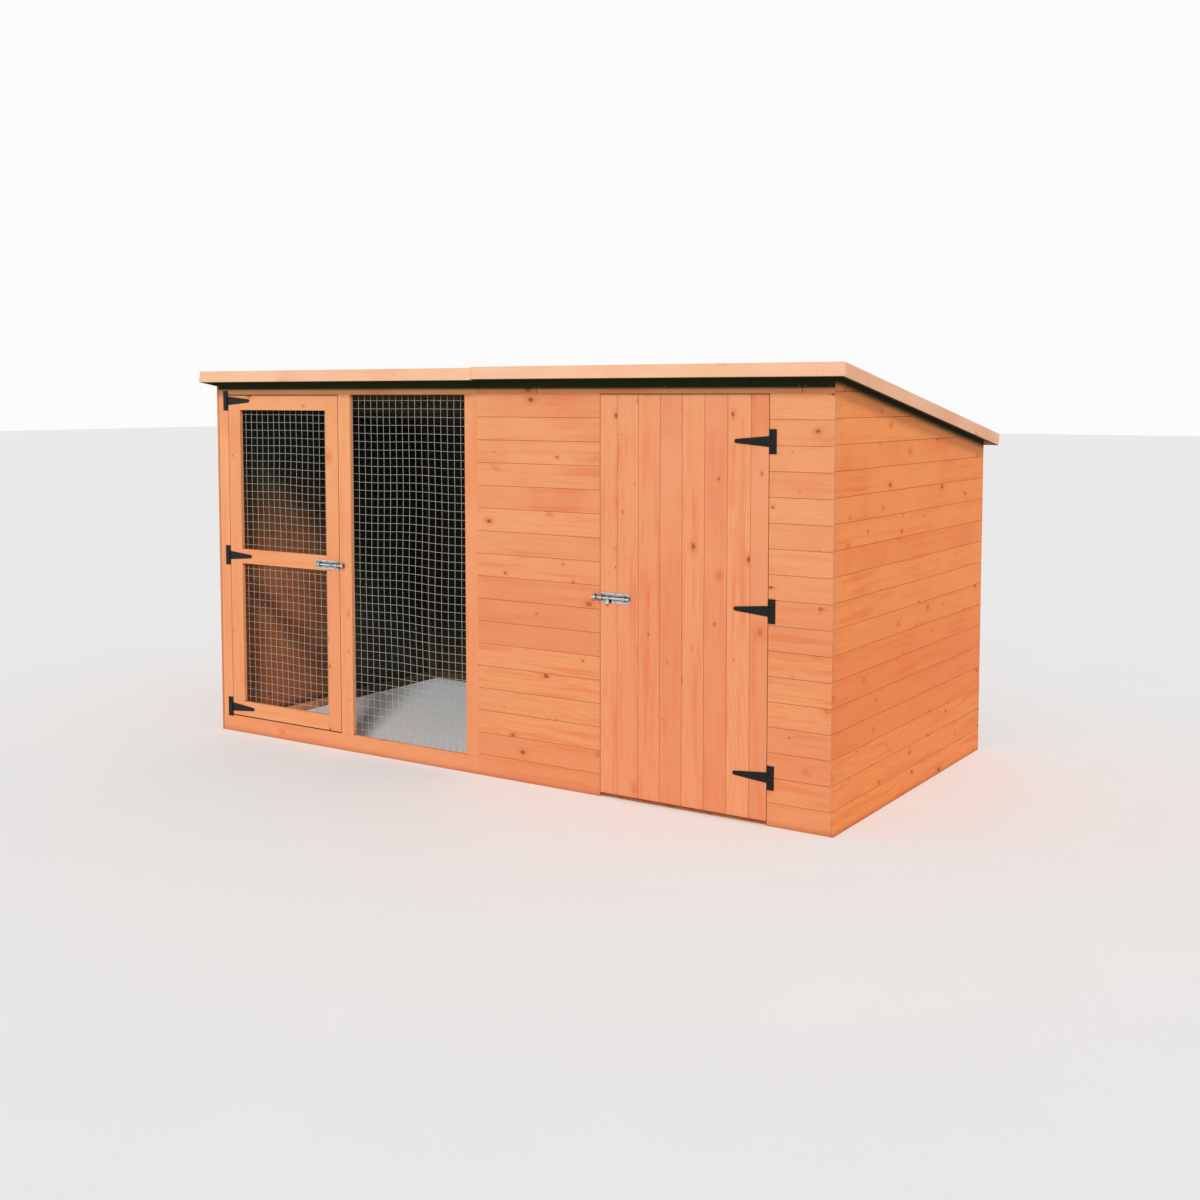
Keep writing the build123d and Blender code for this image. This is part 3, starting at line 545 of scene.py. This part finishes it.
def mineral_felt():
    """Roofing felt: coarse stone granules in green-grey, a lap every 0.9 m down the slope."""
    s = Shader("mineral felt")
    grit = s.add("ShaderNodeTexVoronoi", feature="F1")
    s.feed(grit.inputs["Vector"], s.coords)
    s.feed(grit.inputs["Scale"], 560.0)
    stone = s.axis(grit.outputs["Color"], 0)
    colour = s.mix(stone, (0.022, 0.034, 0.026, 1.0), (0.115, 0.15, 0.125, 1.0))
    cloud = s.noise(s.coords, 4.0, 4.0)
    colour = s.mix(s.smooth(cloud, 0.3, 0.75, 0.0, 0.4), colour, (0.10, 0.11, 0.10, 1.0))
    down = s.math("FRACT", s.math("DIVIDE", s.math("ADD", s.axis(s.coords, Y), lap_start), lap_step))
    lap = s.smooth(down, 0.0, 0.004)
    colour = s.mix(s.smooth(down, 0.0, 0.012, 0.65, 0.0), colour, (0.012, 0.014, 0.013, 1.0))
    normal = s.bump(lap, 0.002, 1.0, s.bump(grit.outputs["Distance"], 0.0009))
    return s.finish(Base_Color=colour, Roughness=0.93, Normal=normal, Specular_IOR_Level=0.2)


def plain(name, colour, rough):
    """A quiet surface for the stage's floor, with a very faint mottle."""
    s = Shader(name)
    mottle = s.noise(s.coords, 1.7, 3.0)
    tone = s.mix(mottle, shade(colour, 0.985), shade(colour, 1.015))
    return s.finish(Base_Color=tone, Roughness=rough, Specular_IOR_Level=0.1)


def dress(material, *names):
    """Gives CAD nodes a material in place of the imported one."""
    for name in names:
        for place in nodes[name].material_slots:
            place.material = material
        if not nodes[name].material_slots:
            nodes[name].data.materials.append(material)


def soften(width, *names):
    """Small rounds on the edges of CAD nodes, after their split corners are welded."""
    for name in names:
        weld = nodes[name].modifiers.new("weld", "WELD")
        weld.merge_threshold = weld_distance
        bevel = nodes[name].modifiers.new("rounded edges", "BEVEL")
        bevel.width = width
        bevel.segments = 2
        bevel.limit_method = "ANGLE"
        bevel.angle_limit = sharp_angle


# Colours, as shares of light sent back
front_tone = (0.76, 0.305, 0.130)
side_tone = (0.84, 0.272, 0.078)
door_tone = (0.77, 0.300, 0.138)
post_tone = (0.80, 0.335, 0.148)
fascia_tone = (0.79, 0.435, 0.265)
inner_tone = (0.60, 0.24, 0.11)
# Painted daylight: the tone of the run's inner faces low at the front
painted_daylit_tone = (0.46, 0.16, 0.055)
end_tone = (0.64, 0.245, 0.100)
# Painted shade: the dark tone of the run's framing, purlins and roof boards
run_shade_tone = (0.10, 0.075, 0.040)
# Painted shade: near-black for the run's inner faces and the undersides of fascias and verges
painted_shade_tone = (0.045, 0.047, 0.026)
floor_tone = (0.60, 0.30, 0.15)

front_courses = (Z, front_seam_z, course)
side_courses = (Z, side_seam_z, course)
# Depths below the roof's slope between which the painted shade under the eaves fades out
front_eaves = (0.079, 0.094)
side_eaves = (0.056, 0.090)
header_butts = (left_x + 1.965, left_x + 3.208)
board_ends = (Y, -1.0, end_tone, end_tone)
# Painted shade on the undersides of the fascias and verges
shaded_underside = (Z, -1.0, painted_shade_tone, painted_shade_tone)

# The near-black tone on the inner faces of the run's walls, on the partition's run side and on the fascias
# and verges is painted shade; the daylit tone adds painted daylight low at the run's front
front_boards = timber("front boards", front_tone, X, Y, front_courses, eaves=front_eaves)
side_boards = timber("side boards", side_tone, Y, X, side_courses, seed=40.0, share=0.6, eaves=side_eaves,
                     faces=[board_ends])
left_boards = timber("left boards", side_tone, Y, X, side_courses, seed=60.0, share=0.6, eaves=side_eaves,
                     faces=[board_ends, (X, 1.0, painted_shade_tone, painted_daylit_tone)])
back_boards = timber("back boards", side_tone, X, Y, front_courses, seed=80.0, line=0.6)
run_back_boards = timber("run back boards", side_tone, X, Y, front_courses, seed=100.0, line=0.6,
                         faces=[(Y, -1.0, painted_shade_tone, painted_shade_tone)])
partition_boards = timber("partition boards", inner_tone, Y, X, front_courses, seed=120.0, line=0.6,
                          faces=[(X, -1.0, painted_shade_tone, painted_daylit_tone)])
header_boards = timber("header boards", front_tone, X, Y, front_courses, seed=160.0, eaves=front_eaves,
                       butts=header_butts)
door_boards = timber("door boards", door_tone, Z, Y, (X, door_seam_x, door_course), seed=200.0)
upright_timber = timber("upright planed timber", post_tone, Z, Y, share=0.35, grain=0.6, eaves=front_eaves)
level_timber = timber("level planed timber", post_tone, X, Y, share=0.35, grain=0.6, eaves=front_eaves)
fascia_timber = timber("fascia", fascia_tone, X, Y, share=0.3, grain=0.45, faces=[shaded_underside])
verge_timber = timber("verge", fascia_tone, Y, X, share=0.3, grain=0.45, faces=[shaded_underside])
left_verge_timber = timber("left verge", fascia_tone, Y, X, share=0.3, grain=0.45,
                           faces=[shaded_underside, (X, 1.0, painted_shade_tone, painted_shade_tone)])
# The run's framing, purlins and roof boards are darkened with painted shade; the left framing's inner face
# gets painted daylight low at the front
run_frame_timber = timber("run framing", run_shade_tone, Z, X, seed=230.0, grain=1.3, rough=0.72)
left_frame_timber = timber("run left framing", run_shade_tone, Z, X, seed=235.0, grain=1.3, rough=0.72,
                           faces=[(X, 1.0, run_shade_tone, post_tone)])
run_purlin_timber = timber("run purlins", run_shade_tone, X, Y, seed=270.0, grain=1.3, rough=0.72)
run_roof_timber = timber("run roof boards", run_shade_tone, Y, Z, seed=350.0)
frame_timber = timber("sawn framing", inner_tone, Z, X, seed=240.0, grain=1.3, rough=0.72)
purlin_timber = timber("purlins", inner_tone, X, Y, seed=280.0, grain=1.3, rough=0.72)
ledge_timber = timber("door ledges", inner_tone, X, Y, seed=320.0)
brace_timber = timber("door braces", inner_tone, Z, Y, seed=340.0)
roof_board_timber = timber("roof boards", floor_tone, Y, Z, seed=360.0)
floor_board_timber = timber("floor boards", floor_tone, Y, Z, (X, floor_seam_x, course), seed=400.0)

wire = galvanised_wire()
enamel = japanned_steel()
zinc = zinc_plate()
nail_metal = nail_steel()
felt = mineral_felt()

dress(front_boards, "kennel_front_left_boards", "kennel_front_right_boards")
dress(header_boards, "kennel_header_boards")
dress(side_boards, "kennel_side_wall_boards")
dress(left_boards, "run_left_wall_boards")
dress(back_boards, "kennel_back_wall_boards")
dress(run_back_boards, "run_back_wall_boards")
dress(partition_boards, "partition_boards")
dress(door_boards, "kennel_door_boards")

posts = ("run_front_left_post", "run_front_middle_post", "run_front_right_post", "run_door_stop")
stiles = ("run_door_left_stile", "run_door_right_stile")
rails = ("run_front_bottom_rail", "run_front_top_rail",
         "run_door_bottom_rail", "run_door_middle_rail", "run_door_top_rail")
fascias = ("run_roof_front_fascia", "run_roof_rear_fascia",
           "kennel_roof_front_fascia", "kennel_roof_rear_fascia")
dress(upright_timber, *posts, *stiles)
dress(level_timber, *rails)
dress(fascia_timber, *fascias)
dress(verge_timber, "kennel_roof_verge_board")
dress(left_verge_timber, "run_roof_verge_board")
soften(planed_round, *posts, *stiles, *rails, "kennel_door_ledges")
soften(fascia_round, *fascias, "run_roof_verge_board", "kennel_roof_verge_board")

dress(left_frame_timber, "run_left_wall_frame")
dress(run_frame_timber, "run_back_wall_frame")
dress(frame_timber, "kennel_front_frame", "kennel_side_wall_frame", "kennel_back_wall_frame")
dress(frame_timber, "partition_frame")
dress(run_purlin_timber, "run_roof_purlins")
dress(purlin_timber, "kennel_roof_purlins", "kennel_floor_bearers")
dress(ledge_timber, "kennel_door_ledges")
dress(brace_timber, "kennel_door_braces")
dress(run_roof_timber, "run_roof_boards")
dress(roof_board_timber, "kennel_roof_boards")
dress(floor_board_timber, "kennel_floor_boards")
dress(felt, "run_roof_felt", "kennel_roof_felt")

for door in ("run_door", "kennel_door"):
    dress(enamel, f"{door}_hinge_plates", f"{door}_hinge_straps", f"{door}_hinge_pins")
    soften(hinge_round, f"{door}_hinge_plates", f"{door}_hinge_straps")
for bolt in ("run_bolt", "kennel_bolt"):
    fittings = [f"{bolt}_{part}" for part in ("plate", "bar", "handle", "keeper")]
    dress(zinc, *fittings)
    soften(bolt_round, *fittings)


class Shape:
    """Vertices and faces gathered from many small forms."""

    def __init__(self):
        self.vertices = []
        self.faces = []

    def loft(self, rings):
        """Skins closed rings of equal counts, and closes both ends."""
        rings = np.asarray(rings, dtype=float)
        count, sides, _ = rings.shape
        first = len(self.vertices)
        self.vertices += [tuple(point) for point in rings.reshape(-1, 3)]
        for ring in range(count - 1):
            low = first + ring * sides
            for k in range(sides):
                n = (k + 1) % sides
                self.faces.append((low + k, low + n, low + sides + n, low + sides + k))
        self.faces.append(tuple(range(first + sides - 1, first - 1, -1)))
        last = first + (count - 1) * sides
        self.faces.append(tuple(range(last, last + sides)))

    def make(self, name, material, body, slot, smooth=True):
        mesh = bpy.data.meshes.new(name)
        mesh.from_pydata(self.vertices, [], self.faces)
        mesh.polygons.foreach_set("use_smooth", [smooth and len(face) == 4 for face in self.faces])
        mesh.materials.append(material)
        piece = bpy.data.objects.new(name, mesh)
        bpy.context.collection.objects.link(piece)
        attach(piece, body)
        return piece


def directions(axis):
    """Two directions that make a right-handed set with a signed axis such as "-Y"."""
    number = "XYZ".index(axis[1])
    forward = np.zeros(3)
    forward[number] = -1.0 if axis[0] == "-" else 1.0
    side = np.zeros(3)
    side[(number + 1) % 3] = 1.0
    return side, np.cross(forward, side), forward


def turned(shape, place, axis, profile, sides, lobe=None):
    """Revolves (radius, height) points round an axis: p = r cos a u + r sin a v + h n.

    A lobe function scales the radius of the rings that have a third value of 1.
    """
    u, v, n = directions(axis)
    angles = np.arange(sides) * 2 * math.pi / sides
    rings = []
    for radius, height, lobed in profile:
        reach = radius * (lobe(angles) if lobed and lobe else np.ones(sides))
        rings.append(np.asarray(place) + np.outer(reach * np.cos(angles), u)
                     + np.outer(reach * np.sin(angles), v) + height * n)
    shape.loft(rings)


def cross_lobe(angles):
    """A cross-shaped rim: r(a) = 0.26 + 0.74 cos(2a)^8."""
    return 0.26 + 0.74 * np.cos(2 * angles) ** 8


def screw(shape, place, axis, radius=screw_radius, height=screw_height):
    """A domed head with a cross recess."""
    profile = [
        (radius, 0.0, 0), (radius * 0.97, height * 0.45, 0), (radius * 0.82, height * 0.85, 0),
        (radius * 0.62, height, 0), (radius * 0.5, height, 1), (radius * 0.42, height * 0.25, 1),
    ]
    turned(shape, place, axis, profile, 24, cross_lobe)


def nail(shape, place, axis):
    """A round flat head, its rim rounded over."""
    profile = [
        (nail_radius, 0.0, 0), (nail_radius * 0.92, nail_height * 0.7, 0),
        (nail_radius * 0.6, nail_height, 0),
    ]
    turned(shape, place, axis, profile, 10)


def tube(shape, points, axis, radius, sides=8):
    """A round wire through points that run along one axis, its section square to that axis."""
    u, v, _ = directions(axis)
    angles = np.arange(sides) * 2 * math.pi / sides
    around = radius * (np.outer(np.cos(angles), u) + np.outer(np.sin(angles), v))
    shape.loft([np.asarray(point) + around for point in points])


def nugget(shape, place, radius):
    """A small weld: two cones of six sides, base to base."""
    profile = [(radius * 0.3, -radius, 0), (radius, 0.0, 0), (radius * 0.3, radius, 0)]
    turned(shape, place, "+Y", profile, 6)


def buckle(x, z, low, high, sway):
    """How far a point of the mesh has been pushed out of true, in X and Z.

    With u and w from 0 to 1 across and up the panel, both shifts are sway sin(pi u) sin(pi w)
    times a slow wave: sin(9 w + 2 u) for X, and sin(7 u - 3 w) for Z.
    """
    u = (x - low.x) / (high.x - low.x)
    w = (z - low.z) / (high.z - low.z)
    fade = sway * math.sin(math.pi * u) * math.sin(math.pi * w)
    return x + fade * math.sin(9 * w + 2 * u), z + fade * math.sin(7 * u - 3 * w)


def welded_mesh(node, body, sway):
    """Round wires and their welds in place of a CAD node's square wires, and staples over them."""
    low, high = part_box(node)
    thick = 2 * wire_radius
    columns = math.floor((high.x - low.x - thick) / mesh_pitch + 1e-6)
    rows = math.floor((high.z - low.z - thick) / mesh_pitch + 1e-6)
    first_x = (low.x + high.x - columns * mesh_pitch) / 2
    first_z = (low.z + high.z - rows * mesh_pitch) / 2
    near, far = low.y + wire_radius, high.y - wire_radius
    xs = [first_x + column * mesh_pitch for column in range(columns + 1)]
    zs = [first_z + row * mesh_pitch for row in range(rows + 1)]

    def place(x, y, z):
        across, up = buckle(x, z, low, high, sway)
        return across, y, up

    shape = Shape()
    for x in xs:
        tube(shape, [place(x, near, z) for z in [low.z] + zs[1:-1:2] + [high.z]], "+Z", wire_radius)
    for z in zs:
        tube(shape, [place(x, far, z) for x in [low.x] + xs[1:-1:2] + [high.x]], "+X", wire_radius)
    for x in xs:
        for z in zs:
            nugget(shape, place(x, (near + far) / 2, z), wire_radius * 1.3)
    piece = shape.make(node + "_wires", wire, body, "mesh_wire")
    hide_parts(node)
    staples = Shape()
    for x in xs[1::3]:
        for z in (low.z + staple_inset, high.z - staple_inset):
            staple(staples, x, far, z, "+X")
    for z in zs[1::3]:
        for x in (low.x + staple_inset, high.x - staple_inset):
            staple(staples, x, far, z, "+Z")
    staples.make(node + "_staples", zinc, body, "bolt_zinc")


def staple(shape, x, y, z, axis):
    """A wire staple over a mesh wire: a crown along an axis and two short legs towards the timber."""
    side = staple_half_width * directions(axis)[2]
    crown = np.array((x, y + wire_radius + staple_radius, z))
    tube(shape, [crown - side, crown + side], axis, staple_radius, 6)
    for end in (crown - side, crown + side):
        tube(shape, [end - np.array((0.0, staple_leg, 0.0)), end], "+Y", staple_radius, 6)


welded_mesh("run_front_mesh", "pen", run_mesh_sway)
welded_mesh("run_door_lower_mesh", "run_door", door_mesh_sway)
welded_mesh("run_door_upper_mesh", "run_door", door_mesh_sway)


# Tee hinge screws, measured from the pin: three in the plate and four in the strap
plate_screws = [(0.0158, 0.0332), (0.0158, 0.0), (0.0158, -0.0332)]
strap_screws = [(-0.0229, 0.0102), (-0.0229, -0.0102), (-0.0838, 0.0), (-0.1475, 0.0)]


def hinge_screws(door, pin_x, heights, way):
    """Black domed screws on the three hinges of a door; way is -1 for hinges turned over."""
    plate_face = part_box(f"{door}_hinge_plates")[1].y - hinge_sheet
    strap_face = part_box(f"{door}_hinge_straps")[1].y - hinge_sheet
    still, moving = Shape(), Shape()
    for z in heights:
        for x, up in plate_screws:
            screw(still, (pin_x + way * x, plate_face, z + up), "-Y")
        for x, up in strap_screws:
            screw(moving, (pin_x + way * x, strap_face, z + up), "-Y")
    still.make(f"{door}_plate_screws", enamel, "pen", "hinge_black")
    moving.make(f"{door}_strap_screws", enamel, door, "hinge_black")


hinge_screws("kennel_door", kennel_pin_x, kennel_hinge_z, 1)
hinge_screws("run_door", run_pin_x, run_hinge_z, -1)


# Bolt screws, measured from the plate's end nearest to the keeper, and (radius, height) of their heads
bolt_plate_screws = [(x, z) for x in (0.020, 0.072, 0.137) for z in (-0.0165, 0.0165)]
guide_rivets = [(x, z) for x in (0.0055, 0.117) for z in (-0.0112, 0.0112)]
keeper_screws = [(-0.029, -0.0112), (-0.029, 0.0112)]
plate_screw_head = (0.0036, 0.0012)
rivet_head = (0.0024, 0.0010)
keeper_screw_head = (0.0030, 0.0011)


def bolt_fixings(bolt, door, edge_x, z, way):
    """Screws through a bolt's plate, rivets in its guides and screws in its keeper."""
    plate_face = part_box(f"{bolt}_plate")[1].y - bolt_sheet
    keeper_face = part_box(f"{bolt}_keeper")[1].y - guide_sheet
    on_door, on_frame = Shape(), Shape()
    for x, up in bolt_plate_screws:
        screw(on_door, (edge_x + way * x, plate_face, z + up), "-Y", *plate_screw_head)
    for x, up in guide_rivets:
        screw(on_door, (edge_x + way * x, plate_face - guide_sheet, z + up), "-Y", *rivet_head)
    for x, up in keeper_screws:
        screw(on_frame, (edge_x + way * x, keeper_face, z + up), "-Y", *keeper_screw_head)
    on_door.make(f"{bolt}_screws", zinc, door, "bolt_zinc")
    on_frame.make(f"{bolt}_keeper_screws", zinc, "pen", "bolt_zinc")


bolt_fixings("kennel_bolt", "kennel_door", kennel_bolt_x, kennel_bolt_z, 1)
bolt_fixings("run_bolt", "run_door", run_bolt_x, run_bolt_z, -1)


def seams(seam, low, high):
    """Lower edges of the boards between two heights, without boards that show too little to nail."""
    first = math.ceil((low + narrow_board - seam) / course)
    last = math.floor((high - narrow_board - seam) / course)
    return [low] + [seam + step * course for step in range(first, last + 1)]


def wall_nails():
    """Two nails in each board at each stud, on the front, the sides and the back."""
    shape = Shape()
    for x in front_studs:
        for low in seams(front_seam_z, 0.0, front_seam_z - 0.02):
            for up in board_nail_heights:
                nail(shape, (left_x + x, front_y, low + up), "-Y")
    for x in header_studs:
        nail(shape, (left_x + x, front_y, front_seam_z + header_nail_height), "-Y")
    for y in side_studs:
        top = roof_top_z - (y + roof_overhang) * math.tan(roof_pitch) - roof_clearance
        for low in seams(side_seam_z, 0.0, top):
            for up in board_nail_heights:
                if low + up < top:
                    nail(shape, (right_x, front_y + y, low + up), "+X")
                    nail(shape, (left_x, front_y + y, low + up), "-X")
    for x in back_studs:
        for low in seams(front_seam_z, 0.0, back_wall_top):
            for up in board_nail_heights:
                nail(shape, (left_x + x, back_y, low + up), "+Y")
    shape.make("wall_nails", nail_metal, "pen", "bolt_zinc", smooth=False)


def door_nails():
    """Two nails through each board of the kennel door into each ledge."""
    shape = Shape()
    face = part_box("kennel_door_boards")[0].y
    for number in range(door_board_count):
        x = door_seam_x + (number - 0.5) * door_course if number else door_seam_x - first_board_inset
        x = min(x, door_right_x - last_board_inset)
        for z in kennel_hinge_z:
            for up in ledge_nail_heights:
                nail(shape, (x, face, z + up), "-Y")
    shape.make("kennel_door_nails", nail_metal, "kennel_door", "bolt_zinc", smooth=False)


def fascia_nails():
    """Nails along the middle of the front fascia boards, whose face slopes with the roof."""
    shape = Shape()
    face_y = roof_edge_y - fascia_nail_drop * math.sin(roof_pitch)
    nail_z = roof_top_z - fascia_nail_drop * math.cos(roof_pitch)
    for number in range(fascia_nail_count):
        x = max(fascia_nail_least, fascia_nail_start + fascia_nail_step * number)
        nail(shape, (left_x + x, face_y, nail_z), "-Y")
    shape.make("fascia_nails", nail_metal, "pen", "bolt_zinc", smooth=False)


wall_nails()
door_nails()
fascia_nails()


def stage():
    """A pale floor under the pen."""
    mesh = bpy.data.meshes.new("floor")
    reach = stage_reach
    mesh.from_pydata([(-reach, -reach, 0), (reach, -reach, 0), (reach, reach, 0), (-reach, reach, 0)],
                     [], [(0, 1, 2, 3)])
    mesh.materials.append(plain("pale floor", stage_tone, 0.85))
    floor = bpy.data.objects.new("floor", mesh)
    bpy.context.collection.objects.link(floor)


def sky(light, seen):
    """Even studio light from all round; the camera and mirror-like surfaces see a paler tone of it."""
    world = bpy.data.worlds.new("studio")
    bpy.context.scene.world = world
    world.use_nodes = True
    tree = world.node_tree
    tree.nodes.clear()
    backgrounds = []
    for colour in (light, seen):
        background = tree.nodes.new("ShaderNodeBackground")
        background.inputs["Color"].default_value = colour
        background.inputs["Strength"].default_value = 1.0
        backgrounds.append(background)
    choice = tree.nodes.new("ShaderNodeMixShader")
    ray = tree.nodes.new("ShaderNodeLightPath")
    output = tree.nodes.new("ShaderNodeOutputWorld")
    direct = tree.nodes.new("ShaderNodeMath")
    direct.operation = "MAXIMUM"
    tree.links.new(ray.outputs["Is Camera Ray"], direct.inputs[0])
    tree.links.new(ray.outputs["Is Glossy Ray"], direct.inputs[1])
    clear = tree.nodes.new("ShaderNodeMath")
    clear.operation = "MAXIMUM"
    tree.links.new(direct.outputs[0], clear.inputs[0])
    tree.links.new(ray.outputs["Is Transmission Ray"], clear.inputs[1])
    tree.links.new(clear.outputs[0], choice.inputs[0])
    tree.links.new(backgrounds[0].outputs[0], choice.inputs[1])
    tree.links.new(backgrounds[1].outputs[0], choice.inputs[2])
    tree.links.new(choice.outputs[0], output.inputs[0])


def sun(direction, energy, spread):
    """A soft, distant lamp; the direction points to it, and the spread is in degrees."""
    lamp = bpy.data.lights.new("key", "SUN")
    lamp.energy = energy
    lamp.angle = math.radians(spread)
    holder = bpy.data.objects.new("key", lamp)
    holder.rotation_euler = (-Vector(direction)).to_track_quat("-Z", "Y").to_euler()
    bpy.context.collection.objects.link(holder)


def camera():
    """The reference view: right, up and back directions from the yaw and the pitch."""
    forward = Vector((-math.sin(camera_yaw) * math.cos(camera_pitch),
                      math.cos(camera_yaw) * math.cos(camera_pitch), -math.sin(camera_pitch)))
    right = Vector((math.cos(camera_yaw), math.sin(camera_yaw), 0.0))
    up = right.cross(forward)
    data = bpy.data.cameras.new("reference view")
    data.sensor_width = 36.0
    data.lens = camera_lens
    data.shift_y = camera_shift_y
    data.clip_end = 200.0
    eye = bpy.data.objects.new("reference view", data)
    eye.matrix_world = Matrix.Translation(camera_place) @ Matrix((right, up, -forward)).transposed().to_4x4()
    bpy.context.collection.objects.link(eye)
    bpy.context.scene.camera = eye


stage()
sky(sky_light, sky_seen)
sun(sun_direction, sun_energy, sun_spread)
camera()
bpy.context.scene.view_settings.view_transform = "Standard"
